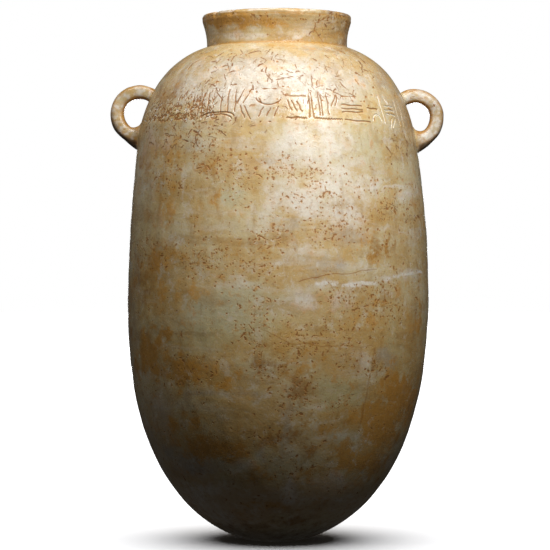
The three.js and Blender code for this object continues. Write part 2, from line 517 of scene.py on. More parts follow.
@dataclass
class Vessel:
    """The turned body: foot, bowl, flank, engraved shoulder, neck, lip and hollow, as rings of points.

    A step is how far apart the rings of a stretch lie, and a wave is the middle length of its ripples.
    """

    outline: Outline
    engraving: Engraving
    columns: int = 320
    front_share: float = 0.8
    front_half_degrees: float = 78
    band_low: float = 391.5 * MM
    band_high: float = 434 * MM
    foot_step: float = 8 * MM
    body_step: float = 6.8 * MM
    band_step: float = 0.65 * MM
    shoulder_step: float = 3.4 * MM
    neck_step: float = 1.1 * MM
    lip_step: float = 0.9 * MM
    rim_step: float = 3.4 * MM
    bore_step: float = 5 * MM
    hollow_step: float = 11 * MM
    lean_heights: tuple = (0.0, 0.05, 0.15, 0.26, 0.34, 0.42, 0.523)
    lean: tuple = (-2.4 * MM, -1.0 * MM, -0.3 * MM, 0.6 * MM, 0.7 * MM, -0.7 * MM, -0.5 * MM)
    wobble: float = 0.28 * MM
    wobble_wave: float = 90 * MM
    waver: float = 0.1 * MM
    waver_wave: float = 22 * MM
    chip: float = 1.2 * MM
    chip_wave: float = 17 * MM
    pit: float = 0.16 * MM
    pit_wave: float = 9 * MM
    ledge: float = 0.45 * MM
    ledge_below_rim: float = 4.6 * MM
    ledge_half: float = 0.9 * MM
    groove: float = 0.05 * MM
    groove_pitch: float = 3.6 * MM

    def turns(self, columns: int) -> np.ndarray:
        """Spaces angles round from the front: most of them evenly over the front, the rest behind.

        Args:
            columns: how many angles.

        Returns:
            The angles, from half a turn left to half a turn right.
        """
        t = np.arange(columns) / columns * 2 - 1
        front = math.radians(self.front_half_degrees)
        knots = (-1, -self.front_share, self.front_share, 1)
        return np.interp(t, knots, (-math.pi, -front, front, math.pi))

    def ring(self, radius: float, height: float, columns: int) -> np.ndarray:
        """One ring of points: x is r sin a and y is -r cos a, so that a counts from the front."""
        a = self.turns(columns)
        return np.column_stack([radius * np.sin(a), -radius * np.cos(a), np.full(columns, height)])

    def profile(self) -> list[tuple[np.ndarray, int]]:
        """Lays out the rings from the foot over the rim to the floor of the hollow.

        Returns:
            The stretches of the outline as radii and heights, each with how many columns its rings have.
        """
        o, coarse = self.outline, self.columns
        bowl, flank, shoulder = o.egg()
        egg = np.vstack([bowl, flank[1:], shoulder[1:]])
        low = egg[egg[:, 1] <= self.band_low]
        band = egg[(egg[:, 1] > self.band_low) & (egg[:, 1] < self.band_high)]
        high = egg[egg[:, 1] >= self.band_high]
        foot = np.array([[0.25 * o.foot_radius, 0.0], [0.94 * o.foot_radius, 0.0]])
        rim = np.array([[o.rim_radius(), o.height], [o.bore_radius, o.height]])
        bore = np.array([[o.bore_radius, o.height], [o.bore_radius, o.neck_height]])
        return [
            (evenly(foot, self.foot_step), coarse),
            (evenly(low[3:], self.body_step), coarse),
            (evenly(band, self.band_step), 2 * coarse),
            (evenly(high, self.shoulder_step), coarse),
            (evenly(o.neck(), self.neck_step)[1:], coarse),
            (evenly(o.lip(), self.lip_step)[1:], coarse),
            (evenly(rim, self.rim_step)[1:], coarse),
            (evenly(bore, self.bore_step)[1:-1], coarse // 2),
            (evenly(o.hollow(), self.hollow_step), coarse // 2),
        ]

    def lip_wear(self, places: np.ndarray, radius: np.ndarray, outside: np.ndarray) -> np.ndarray:
        """Wears the lip: chips where ripples pass a threshold, small pits, and a ledge below the rim.

        Args:
            places: the points, one a row.
            radius: how far each lies from the axis.
            outside: which of them lie outside the rim.

        Returns:
            How far each point is set in.
        """
        o = self.outline
        on_lip = smooth_step(o.height - 9 * MM, o.height - 3 * MM, places[:, 2])
        on_lip *= smooth_step(o.bore_radius + 4 * MM, o.lip_radius - 4 * MM, radius)
        right = smooth_step(-0.02, 0.03, places[:, 0])
        worn = np.maximum(ripples(places * [1, 1, 0.5], self.chip_wave, 8) - 1.15 + 0.35 * right, 0)
        set_in = self.chip * np.minimum(worn, 1) * on_lip
        set_in += self.pit * np.abs(ripples(places, self.pit_wave, 9)) * on_lip
        ledge = self.ledge * bell(places[:, 2] - o.height + self.ledge_below_rim, self.ledge_half)
        return set_in + ledge * outside * smooth_step(o.bore_radius, o.neck_radius, radius)

    def worked(self, rings: list[np.ndarray]) -> list[np.ndarray]:
        """Leans, wobbles, wears and engraves the plain rings.

        The outside moves along its own radius by a few tenths of a millimetre of slow ripples, the neck
        has the fine grooves of its turning as a sine of the height, and the strokes are cut square to the
        axis.

        Args:
            rings: the plain rings, from the foot over the rim to the floor of the hollow.

        Returns:
            The worked rings.
        """
        o = self.outline
        sizes = [len(ring) for ring in rings]
        places = np.vstack(rings)
        rim_ring = int(np.argmax([ring[0, 2] >= o.height - 1e-9 for ring in rings]))
        outside = np.repeat(np.arange(len(rings)) <= rim_ring, sizes)
        radius = np.hypot(places[:, 0], places[:, 1])
        away = places[:, :2] / np.maximum(radius, 1e-9)[:, None]
        around = o.turn_radius * np.arctan2(places[:, 0], -places[:, 1])
        push = self.wobble * ripples(places, self.wobble_wave, 3)
        push += self.waver * ripples(places, self.waver_wave, 4)
        push *= smooth_step(0.0, 0.03, places[:, 2]) * np.where(outside, 1.0, 0.5)
        on_neck = smooth_step(o.neck_height + 2 * MM, o.neck_height + 8 * MM, places[:, 2])
        grooves = self.groove * np.sin(places[:, 2] / self.groove_pitch * 2 * math.pi) * on_neck
        set_in = self.lip_wear(places, radius, outside)
        depth, _, _ = self.engraving.carve(places, around)
        push += np.where(outside, grooves - set_in - depth, 0.0)
        places[:, :2] += away * push[:, None]
        places[:, 2] -= 0.6 * set_in * smooth_step(o.height - 3 * MM, o.height, places[:, 2])
        places[:, 0] += np.interp(places[:, 2], self.lean_heights, self.lean)
        return np.split(places, np.cumsum(sizes)[:-1])

    def build(self) -> bpy.types.Object:
        """Joins the rings into one closed skin, with a fan of triangles at the foot and at the floor.

        Returns:
            The body, without handles.
        """
        rings = []
        for stretch, columns in self.profile():
            rings += [self.ring(r, z, columns) for r, z in stretch]
        rings = self.worked(rings)
        foot, floor = rings[0].mean(0), rings[-1].mean(0)
        points = np.vstack([foot[None], *rings, floor[None]])
        starts = np.r_[1, 1 + np.cumsum([len(r) for r in rings])]
        faces = [fan(0, starts[0], len(rings[0]), False)]
        for i in range(len(rings) - 1):
            faces += band_of_faces(starts[i], len(rings[i]), starts[i + 1], len(rings[i + 1]))
        faces.append(fan(len(points) - 1, starts[-2], len(rings[-1]), True))
        return new_object("vessel", points, [face for part in faces for face in part.tolist()])


def fan(middle: int, start: int, count: int, last: bool) -> np.ndarray:
    """Closes a ring with triangles to one point.

    Args:
        middle: index of the point.
        start: index of the ring's first point.
        count: how many points the ring has.
        last: True at the end of a skin, where they face up, and False at its start, where they face down.

    Returns:
        The triangles, one a row.
    """
    a = np.arange(count)
    b = (a + 1) % count
    ring = (start + a, start + b) if last else (start + b, start + a)
    return np.column_stack([np.full(count, middle), *ring])


def band_of_faces(low: int, low_count: int, high: int, high_count: int) -> list[np.ndarray]:
    """Faces between two rings, whose counts are equal or one twice the other.

    Equal rings are joined by quads. Otherwise each side of the coarse ring meets two of the fine one
    by three triangles.

    Args:
        low: index of the first ring's first point.
        low_count: how many points it has.
        high: index of the second ring's first point.
        high_count: how many points it has.

    Returns:
        Arrays of faces, each face a row of point indices.
    """
    if low_count == high_count:
        a = np.arange(low_count)
        b = (a + 1) % low_count
        return [np.column_stack([low + a, low + b, high + b, high + a])]
    coarse = min(low_count, high_count)
    k = np.arange(coarse)
    after = (k + 1) % coarse
    even, odd, following = 2 * k, 2 * k + 1, (2 * k + 2) % (2 * coarse)
    if low_count > high_count:
        return [
            np.column_stack([low + even, low + odd, high + k]),
            np.column_stack([low + odd, high + after, high + k]),
            np.column_stack([low + odd, low + following, high + after]),
        ]
    return [
        np.column_stack([low + k, high + odd, high + even]),
        np.column_stack([low + k, low + after, high + odd]),
        np.column_stack([low + after, high + following, high + odd]),
    ]


def new_object(name: str, points: np.ndarray, faces: list) -> bpy.types.Object:
    """Puts points and faces into a mesh of a new object at the origin.

    Args:
        name: the object's name.
        points: its points, one a row.
        faces: lists of point indices.

    Returns:
        The object, linked to the scene.
    """
    mesh = bpy.data.meshes.new(name)
    mesh.from_pydata(points.tolist(), [], faces)
    mesh.update()
    made = bpy.data.objects.new(name, mesh)
    bpy.context.scene.collection.objects.link(made)
    return made


@dataclass
class RingHandle:
    """A ring handle: a rounded bar bent round a circle by the jar's surface."""

    outline: Outline
    side: int
    height: float
    stand_off: float
    seed: int
    ring_radius: float = 22.3 * MM
    thickness: float = 13.8 * MM
    width: float = 18 * MM
    root_widening: float = 5 * MM
    root_outside: float = 11.5 * MM
    root_inside: float = 7 * MM
    side_flatness: float = 0.12
    bottom_end: float = math.radians(-100)
    thickens_from: float = math.radians(-45)
    top_end: float = math.radians(142)
    worn_plane: float = 0.2 * MM
    worn_aside: float = 0.45 * MM
    steps: int = 76
    sides: int = 30

    def centre(self) -> float:
        """How far the ring's centre lies from the jar's axis."""
        return float(self.outline.radius_at(np.array([self.height]))[0]) + self.stand_off

    def build(self) -> bpy.types.Object:
        """Carries a rounded section round the ring and closes its two ends.

        A point of the section at angle b lies at the ring's radius plus half the thickness times cos b,
        and half the width times sin b aside. The thickness grows as the square of the way into the
        lower root, and the width as the fourth power of the way to either end.

        Returns:
            The closed bar.
        """
        along, b = np.meshgrid(
            np.linspace(0, 1, self.steps + 1),
            np.arange(self.sides) * 2 * math.pi / self.sides,
            indexing="ij",
        )
        angle = self.bottom_end + (self.top_end - self.bottom_end) * along
        root = np.clip((self.thickens_from - angle) / (self.thickens_from - self.bottom_end), 0, 1) ** 2
        outer = self.ring_radius + self.thickness / 2 + root * self.root_outside
        inner = self.ring_radius - self.thickness / 2 - root * self.root_inside
        corner = 1 + self.side_flatness * np.sin(2 * b) ** 2
        radius = (outer + inner) / 2 + np.cos(b) * corner * (outer - inner) / 2
        half_width = self.width / 2 + self.root_widening * np.abs(2 * along - 1) ** 4
        aside = np.sin(b) * corner * half_width
        points = np.column_stack([
            self.side * (self.centre() + radius * np.cos(angle)).ravel(),
            -self.side * aside.ravel(),
            (self.height + radius * np.sin(angle)).ravel(),
        ])
        points[:, 0] += self.worn_plane * ripples(points, 18 * MM, self.seed)
        points[:, 1] += self.worn_aside * ripples(points, 20 * MM, self.seed + 1)
        points[:, 2] += self.worn_plane * ripples(points, 18 * MM, self.seed + 2)
        faces = []
        for i in range(self.steps):
            low, high = i * self.sides, (i + 1) * self.sides
            faces += band_of_faces(low, self.sides, high, self.sides)[0].tolist()
        count = len(points)
        rings = points.reshape(self.steps + 1, self.sides, 3)
        points = np.vstack([points, rings[0].mean(0), rings[-1].mean(0)])
        faces += fan(count, 0, self.sides, False).tolist()
        faces += fan(count + 1, count - self.sides, self.sides, True).tolist()
        return new_object(f"handle_{'right' if self.side > 0 else 'left'}", points, faces)


class Wire:
    """A number on its way through a shader. Python's operators on it add Math nodes."""

    def __init__(self, graph: "Graph", socket: bpy.types.NodeSocket) -> None:
        """Wraps an output socket of the graph."""
        self.graph = graph
        self.socket = socket

    def __add__(self, other: "Wire | float") -> "Wire":
        """This plus the other."""
        return self.graph.math("ADD", self, other)

    __radd__ = __add__

    def __sub__(self, other: "Wire | float") -> "Wire":
        """This minus the other."""
        return self.graph.math("SUBTRACT", self, other)

    def __rsub__(self, other: "Wire | float") -> "Wire":
        """The other minus this."""
        return self.graph.math("SUBTRACT", other, self)

    def __mul__(self, other: "Wire | float") -> "Wire":
        """This times the other."""
        return self.graph.math("MULTIPLY", self, other)

    def __truediv__(self, other: "Wire | float") -> "Wire":
        """This over the other."""
        return self.graph.math("DIVIDE", self, other)

    def __rtruediv__(self, other: "Wire | float") -> "Wire":
        """The other over this."""
        return self.graph.math("DIVIDE", other, self)

    def __pow__(self, other: "Wire | float") -> "Wire":
        """This to the power of the other."""
        return self.graph.math("POWER", self, other)

    def rise(self, low: float, high: float) -> "Wire":
        """Maps this to 0 below low, 1 above high and smoothly between.

        Args:
            low: where the rise starts.
            high: where it ends; below low it makes a fall.

        Returns:
            The mapped number.
        """
        if low > high:
            return 1.0 - self.rise(high, low)
        settings = {"interpolation_type": "SMOOTHSTEP"}
        sockets = {"Value": self, "From Min": low, "From Max": high}
        return self.graph.wire("ShaderNodeMapRange", settings, sockets, "Result")


class Graph:
    """The nodes of one material or of the world."""

    def __init__(self, owner: bpy.types.Material | bpy.types.World) -> None:
        """Clears the owner's nodes.

        Args:
            owner: what the nodes belong to.
        """
        owner.use_nodes = True
        self.tree = owner.node_tree
        self.tree.nodes.clear()

    def node(self, kind: str, settings: dict, sockets: dict) -> bpy.types.Node:
        """Adds a node, sets its settings, then fills its sockets.

        Args:
            kind: the node's type.
            settings: its properties.
            sockets: input name or identifier to a Wire or a value.

        Returns:
            The node.
        """
        node = self.tree.nodes.new(kind)
        for name, value in settings.items():
            setattr(node, name, value)
        for name, value in sockets.items():
            place = next(s for s in node.inputs if s.identifier == name or (s.name == name and s.enabled))
            if isinstance(value, Wire):
                self.tree.links.new(value.socket, place)
            else:
                place.default_value = value
        return node

    def wire(self, kind: str, settings: dict, sockets: dict, output: str) -> Wire:
        """Adds a node and gives one of its outputs, by name or identifier."""
        node = self.node(kind, settings, sockets)
        return Wire(self, next(s for s in node.outputs if output in (s.identifier, s.name) and s.enabled))

    def math(self, operation: str, *values: "Wire | float") -> Wire:
        """Adds a Math node on one or two values."""
        sockets = dict(zip(("Value", "Value_001"), values))
        return self.wire("ShaderNodeMath", {"operation": operation}, sockets, "Value")

    def vector(self, operation: str, *values: "Wire | tuple", output: str = "Vector", **more: float) -> Wire:
        """Adds a Vector Math node on up to two vectors."""
        sockets = {**dict(zip(("Vector", "Vector_001"), values)), **more}
        return self.wire("ShaderNodeVectorMath", {"operation": operation}, sockets, output)

    def mix(self, factor: "Wire | float", first: "Wire | tuple", second: "Wire | tuple") -> Wire:
        """Mixes two colours.

        Args:
            factor: 0 for the first and 1 for the second.
            first: the one colour.
            second: the other.

        Returns:
            The mixed colour.
        """
        sockets = {"Factor_Float": factor, "A_Color": rgba(first), "B_Color": rgba(second)}
        settings = {"data_type": "RGBA", "clamp_factor": True}
        return self.wire("ShaderNodeMix", settings, sockets, "Result_Color")

    def attribute(self, name: str) -> Wire:
        """Reads a number that the mesh carries at its points."""
        return self.wire("ShaderNodeAttribute", {"attribute_name": name}, {}, "Fac")

    def noise(self, where: Wire, scale: float, detail: float, rough: float) -> Wire:
        """A noise texture's number at a place, about 0.5 in the middle."""
        sockets = {"Vector": where, "Scale": scale, "Detail": detail, "Roughness": rough}
        return self.wire("ShaderNodeTexNoise", {}, sockets, "Fac")


def rgba(colour: "Wire | tuple") -> "Wire | tuple":
    """A colour as a socket takes it."""
    return colour if isinstance(colour, Wire) else (*colour, 1.0)


@dataclass(frozen=True)
class Patch:
    """A soft patch of another tone, placed on the front by its middle in the photograph's frame."""

    column: float
    row: float
    half_wide: float
    half_tall: float
    strength: float


@dataclass(frozen=True)
class Stain:
    """One tone that comes and goes over the stone: patches on the front, slow ripples behind. A few patches
    paint highlights and a reflection instead.
    """

    behind: float
    patches: tuple

    def spread(self, photo: Photograph, places: np.ndarray) -> np.ndarray:
        """Paints the stain onto points: bell curves of the distance in the frame, faded off the front.

        Args:
            photo: how the frame lies on the jar.
            places: the points.

        Returns:
            One number a point, from 0 to 1.
        """
        column, row = photo.column_of(places), photo.row_of(places)
        aside = 4.0 * ripples(places, 40 * MM, 21) + 2.0 * ripples(places, 14 * MM, 23)
        lift = 3.0 * ripples(places, 40 * MM, 22) + 1.6 * ripples(places, 14 * MM, 24)
        total = np.zeros(len(places))
        for p in self.patches:
            bend = min(1.0, p.half_tall / 8)
            across = (column + bend * aside - p.column) / p.half_wide
            down = (row + bend * lift - p.row) / p.half_tall
            total = np.maximum(total, p.strength * np.exp(-0.7 * (across**2 + down**2) ** 1.4))
        slow = ripples(places * [1, 1, 2.0], 120 * MM, 30 + len(self.patches))
        elsewhere = self.behind * smooth_step(0.1, 1.5, slow)
        front = smooth_step(0.02, -0.03, places[:, 1])
        return np.clip(total * front + elsewhere * (1 - front), 0, 1)


@dataclass(frozen=True)
class Vein:
    """A thin line in the stone, drawn on the front through points of the photograph's frame.

    Its half thickness is in the frame's pixels too.
    """

    points: tuple
    half_thin: float
    strength: float


@dataclass(frozen=True)
class Dashes:
    """One layer of short marks: at most one dash in each cell of a cell texture.

    Share is how many cells can have one. Lean is the middle angle up from level, and lean_spread the whole
    range round it. At a distance from its middle a dash bows by up to bend times the square of it.
    """

    cells_per_metre: float
    share: float
    half_long: float
    half_thin: float
    lean: float
    lean_spread: float
    bend: float


@dataclass(frozen=True)
class Unevenness:
    """The noises that the stone's tones come and go by, from the broadest to the finest."""

    cloud: Wire
    veil: Wire
    bands: Wire
    runs: Wire
    blotch: Wire
    mottle: Wire
    grain: Wire


@dataclass(frozen=True)
class Marks:
    """How much of each kind of mark shows on the stone."""

    flecks: Wire
    strokes: Wire
    cut: Wire
    pale: Wire
    # painted shade at the foot and under the rings, and the darker inside of the jar
    shade_and_grime: Wire


@dataclass(frozen=True)
class Alabaster:
    """Polished, worn alabaster: its tones, veils, stains and wear, and some painted highlights, a painted
    reflection and painted shade.
    """

    cream: tuple = (0.62, 0.50, 0.28)
    honey: tuple = (0.56, 0.375, 0.15)
    amber: tuple = (0.57, 0.295, 0.062)
    # the stone's milky tone, also used for the painted highlights and sheen
    milk_and_sheen: tuple = (0.76, 0.70, 0.60)
    ash_and_reflection: tuple = (0.42, 0.37, 0.305)
    umber: tuple = (0.30, 0.145, 0.038)
    rust: tuple = (0.32, 0.13, 0.028)
    plum: tuple = (0.26, 0.115, 0.038)
    fill: tuple = (0.30, 0.125, 0.028)
    bare: tuple = (0.86, 0.80, 0.68)
    golden: tuple = (0.46, 0.225, 0.045)
    straw: tuple = (0.55, 0.50, 0.31)
    peach: tuple = (0.60, 0.42, 0.255)
    # the dark tone of the painted shade at the foot and under the rings, and of the darker inside
    shade_and_grime_tone: tuple = (0.05, 0.032, 0.02)
    glaze: tuple = (1.0, 0.91, 0.70)
    refraction: float = 1.5
    glow: float = 0.08
    glow_reach: tuple = (1.0, 0.62, 0.3)
    glow_scale: float = 5 * MM
    bump_height: float = 0.5 * MM
    bump_strength: float = 0.75
    ambered: Stain = Stain(0.7, (
        Patch(165, 152, 22, 22, 0.7),
        Patch(162, 190, 10, 30, 0.6),
        Patch(160, 262, 30, 14, 0.65),
        Patch(178, 290, 26, 12, 0.5),
        Patch(152, 352, 14, 26, 0.9),
        Patch(188, 372, 24, 14, 0.9),
        Patch(228, 386, 20, 10, 0.9),
        Patch(190, 424, 26, 9, 0.6),
        Patch(216, 446, 34, 13, 0.9),
        Patch(398, 396, 20, 24, 1.0),
        Patch(378, 425, 26, 22, 1.0),
        Patch(358, 458, 28, 18, 0.9),
        Patch(300, 480, 18, 14, 0.7),
        Patch(262, 474, 18, 8, 0.7),
        Patch(322, 302, 34, 12, 0.5),
        Patch(364, 310, 24, 18, 0.4),
        Patch(376, 250, 14, 16, 0.6),
        Patch(325, 426, 30, 7, 0.6),
        Patch(240, 270, 30, 14, 0.3),
        Patch(300, 362, 26, 14, 0.6),
        Patch(236, 20, 46, 8, 1.0),
        Patch(320, 38, 34, 4, 0.5),
        Patch(344, 22, 8, 9, 0.8),
        Patch(212, 200, 6, 30, 0.4),
        Patch(410, 320, 10, 30, 0.5),
        Patch(268, 508, 40, 8, 0.5),
    ))
    browned: Stain = Stain(0.6, (
        Patch(268, 366, 14, 10, 0.8),
        Patch(300, 388, 16, 12, 0.85),
        Patch(304, 418, 18, 12, 0.7),
        Patch(298, 448, 14, 20, 0.6),
        Patch(268, 440, 20, 7, 0.9),
        Patch(284, 405, 9, 9, 0.6),
        Patch(215, 480, 24, 7, 0.3),
        Patch(262, 236, 34, 8, 0.7),
        Patch(170, 238, 40, 3, 0.5),
        Patch(318, 345, 55, 3, 0.7),
        Patch(215, 357, 30, 3, 0.5),
        Patch(255, 334, 14, 14, 0.5),
        Patch(205, 170, 8, 34, 0.35),
        Patch(382, 245, 10, 12, 0.7),
        Patch(250, 168, 40, 7, 0.4),
        Patch(210, 250, 50, 10, 0.4),
        Patch(375, 366, 4, 18, 0.7),
        Patch(345, 425, 16, 3, 0.6),
        Patch(420, 270, 6, 60, 0.5),
        Patch(139, 280, 11, 80, 0.6),
        Patch(148, 165, 10, 14, 0.5),
        Patch(165, 96, 14, 18, 0.8),
        Patch(180, 72, 10, 12, 0.5),
        Patch(240, 20, 34, 5, 0.6),
        Patch(384, 78, 14, 16, 0.55),
        Patch(340, 12, 16, 6, 1.0),
        Patch(342, 30, 10, 12, 0.6),
        Patch(350, 46, 22, 6, 0.7),
        Patch(320, 275, 34, 3, 0.7),
        Patch(270, 522, 50, 8, 0.6),
    ))
    # Grey stone, and a painted reflection of the grey surroundings down the left edge.
    ashen_and_reflection: Stain = Stain(0.6, (
        Patch(275, 84, 100, 36, 0.85),
        Patch(400, 106, 14, 18, 0.6),
        Patch(345, 52, 40, 10, 0.5),
        Patch(338, 12, 18, 6, 1.0),
        Patch(295, 150, 34, 24, 0.5),
        Patch(330, 265, 24, 13, 0.7),
        Patch(348, 238, 20, 10, 0.6),
        Patch(284, 228, 18, 8, 0.5),
        Patch(205, 394, 50, 5, 0.8),
        Patch(205, 350, 34, 5, 0.4),
        Patch(380, 80, 18, 16, 0.7),
        Patch(190, 458, 30, 18, 0.8),
        Patch(285, 428, 9, 30, 0.7),
        Patch(386, 362, 13, 12, 0.8),
        Patch(215, 225, 30, 10, 0.3),
        Patch(196, 148, 12, 14, 0.5),
        # Painted reflection: a narrow grey strip down the left edge, where the stone mirrors the
        # surroundings.
        Patch(134, 300, 5, 120, 0.6),
        Patch(232, 108, 90, 16, 0.5),
        Patch(160, 430, 18, 40, 0.5),
    ))
    # Milky stone, and among its patches some painted highlights on the shoulder and the neck.
    milky_and_sheen: Stain = Stain(0.6, (
        # Partly milky stone, partly a painted highlight: the glare of a softbox down the right of the
        # shoulder.
        Patch(338, 182, 42, 28, 0.9),
        Patch(340, 214, 30, 16, 1.0),
        Patch(300, 208, 36, 14, 1.0),
        Patch(205, 106, 40, 14, 0.6),
        Patch(335, 300, 22, 10, 0.7),
        Patch(205, 92, 36, 30, 0.75),
        Patch(160, 128, 16, 34, 0.5),
        Patch(150, 200, 12, 50, 0.3),
        Patch(262, 92, 100, 34, 0.62),
        Patch(296, 196, 34, 16, 0.8),
        # Partly milky stone, partly a painted highlight: the glare of a softbox down the right of the
        # shoulder.
        Patch(310, 145, 44, 26, 0.9),
        Patch(362, 186, 40, 4, 0.5),
        Patch(325, 283, 12, 4.0, 1.0),
        Patch(358, 284, 20, 4.0, 1.0),
        Patch(409, 273, 13, 3.4, 1.0),
        Patch(386, 278, 12, 2.2, 0.8),
        Patch(405, 192, 12, 5, 0.6),
        Patch(402, 200, 6, 4, 0.6),
        Patch(300, 296, 15, 12, 0.8),
        Patch(292, 488, 14, 18, 0.9),
        Patch(332, 480, 14, 9, 0.6),
        Patch(205, 496, 24, 12, 0.9),
        Patch(215, 516, 24, 8, 0.7),
        Patch(364, 362, 16, 9, 0.7),
        Patch(318, 408, 12, 5, 0.8),
        Patch(338, 420, 16, 4, 0.7),
        Patch(240, 468, 18, 8, 0.6),
        Patch(206, 266, 12, 7, 0.5),
        Patch(240, 280, 10, 7, 0.6),
        Patch(318, 228, 16, 7, 0.5),
        Patch(208, 326, 36, 14, 0.15),
        Patch(300, 250, 26, 12, 0.6),
        # Painted highlight: a pale patch on the middle of the neck, where the softboxes shine.
        Patch(300, 31, 22, 6, 0.8),
        Patch(292, 333, 9, 9, 0.7),
        Patch(256, 208, 5, 14, 0.5),
        Patch(245, 232, 14, 5, 0.3),
        Patch(262, 455, 5, 12, 0.5),
        # Painted highlights: pale streaks across the neck where the softboxes shine on it.
        Patch(250, 36, 30, 3.5, 0.8),
        Patch(298, 34, 9, 4, 1.0),
        Patch(232, 34, 20, 3, 0.7),
    ))
    speckled: Stain = Stain(0.8, (
        Patch(208, 152, 12, 18, 1.0),
        Patch(224, 162, 10, 8, 0.9),
        Patch(285, 168, 34, 14, 1.0),
        Patch(172, 178, 16, 16, 0.8),
        Patch(242, 178, 22, 20, 0.7),
        Patch(268, 234, 18, 14, 1.0),
        Patch(150, 246, 16, 10, 0.7),
        Patch(204, 256, 34, 16, 0.8),
        Patch(250, 268, 22, 14, 0.9),
        Patch(376, 306, 22, 20, 1.0),
        Patch(392, 282, 10, 8, 1.0),
        Patch(345, 300, 26, 14, 0.7),
        Patch(325, 336, 30, 20, 0.8),
        Patch(296, 350, 40, 10, 0.9),
        Patch(270, 370, 14, 10, 1.0),
        Patch(344, 358, 10, 9, 1.0),
        Patch(375, 370, 5, 14, 0.9),
        Patch(300, 392, 20, 14, 1.0),
        Patch(286, 408, 10, 8, 0.9),
        Patch(340, 408, 16, 8, 0.6),
        Patch(266, 438, 18, 7, 1.0),
        Patch(248, 330, 10, 20, 0.8),
        Patch(260, 308, 16, 16, 0.7),
        Patch(190, 370, 24, 14, 0.6),
        Patch(330, 230, 40, 14, 0.7),
        Patch(320, 195, 40, 24, 0.5),
        Patch(390, 210, 20, 24, 0.6),
        Patch(305, 470, 16, 10, 0.7),
        Patch(180, 125, 36, 12, 0.8),
        Patch(245, 17, 50, 4, 0.9),
        Patch(335, 20, 20, 8, 0.7),
    ))
    scratched: Stain = Stain(0.12, (
        Patch(232, 62, 22, 12, 0.9),
        Patch(228, 80, 12, 12, 0.8),
        Patch(212, 92, 14, 10, 0.8),
        Patch(262, 60, 20, 10, 0.7),
        Patch(285, 74, 18, 8, 1.0),
        Patch(308, 76, 14, 9, 1.0),
        Patch(325, 86, 20, 11, 1.0),
        Patch(345, 66, 24, 12, 0.4),
        Patch(345, 94, 14, 7, 0.7),
        Patch(250, 96, 16, 6, 0.6),
        Patch(172, 90, 14, 8, 0.4),
        Patch(185, 135, 24, 12, 0.7),
        Patch(398, 150, 12, 14, 0.6),
        Patch(225, 122, 26, 7, 0.7),
        Patch(300, 110, 22, 12, 0.3),
        Patch(398, 212, 14, 12, 0.7),
        Patch(340, 20, 14, 8, 0.7),
        Patch(320, 30, 10, 9, 0.5),
    ))
    warmed: Stain = Stain(0.6, (
        Patch(146, 290, 18, 80, 0.9),
        Patch(282, 340, 50, 22, 0.9),
        Patch(340, 398, 28, 24, 1.0),
        Patch(205, 392, 40, 34, 0.8),
        Patch(200, 348, 44, 20, 0.9),
        Patch(396, 380, 30, 70, 0.8),
        Patch(240, 440, 80, 18, 0.6),
        Patch(350, 330, 60, 14, 0.4),
    ))
    faded: Stain = Stain(0.5, (
        Patch(225, 318, 44, 30, 1.0),
        Patch(340, 395, 30, 18, 0.8),
        Patch(250, 296, 40, 10, 0.6),
        Patch(300, 405, 14, 12, 0.6),
        Patch(360, 150, 34, 30, 0.5),
        Patch(230, 195, 18, 14, 0.7),
        Patch(345, 440, 14, 14, 0.7),
        Patch(400, 340, 14, 40, 0.5),
        Patch(240, 372, 26, 8, 0.6),
    ))
    peachy: Stain = Stain(0.4, (
        Patch(240, 504, 70, 20, 1.0),
        Patch(310, 500, 50, 24, 0.8),
        Patch(160, 420, 22, 60, 0.6),
        Patch(185, 470, 26, 20, 0.7),
        Patch(275, 165, 44, 12, 0.6),
        Patch(345, 235, 34, 14, 0.6),
        Patch(160, 240, 24, 8, 0.5),
        Patch(350, 355, 30, 10, 0.4),
        Patch(150, 160, 14, 40, 0.4),
    ))
    veins: tuple = (
        Vein(((262, 329), (292, 345), (372, 347)), 0.55, 0.5),
        Vein(((375, 348), (366, 400), (358, 428)), 0.8, 0.45),
        Vein(((298, 281), (330, 274), (376, 270)), 0.5, 0.75),
        Vein(((330, 17), (317, 24), (315, 31), (321, 42)), 0.42, 0.75),
    )
    streaks: tuple = (
        Vein(((317, 283), (335, 283)), 2.2, 1.0),
        Vein(((343, 284.5), (375, 284)), 2.0, 1.0),
        Vein(((386, 279), (400, 275), (420, 272)), 1.5, 1.0),
        Vein(((362, 188), (402, 186)), 1.4, 0.6),
    )
    scratches: tuple = (
        Dashes(50.0, 1.0, 0.0098, 0.00042, 0.4, 2.8, 11.0),
        Dashes(75.0, 1.0, 0.0066, 0.00042, 0.5, 3.0, 22.0),
        Dashes(112.0, 1.0, 0.0044, 0.00042, 0.8, 3.1, 45.0),
        Dashes(170.0, 1.0, 0.0028, 0.00040, 0.8, 3.1, 80.0),
    )
    flecks: tuple = (
        Dashes(120.0, 0.40, 0.0026, 0.00060, 0.6, 3.1, 90.0),
        Dashes(225.0, 0.44, 0.0012, 0.00070, 0.6, 3.1, 60.0),
        Dashes(400.0, 0.50, 0.0008, 0.00058, 0.6, 3.1, 0.0),
    )

    def stains(self) -> dict[str, Stain]:
        """The stains, each under the name of the attribute that the shader reads it from."""
        values = {kept.name: getattr(self, kept.name) for kept in fields(self)}
        return {name: value for name, value in values.items() if isinstance(value, Stain)}

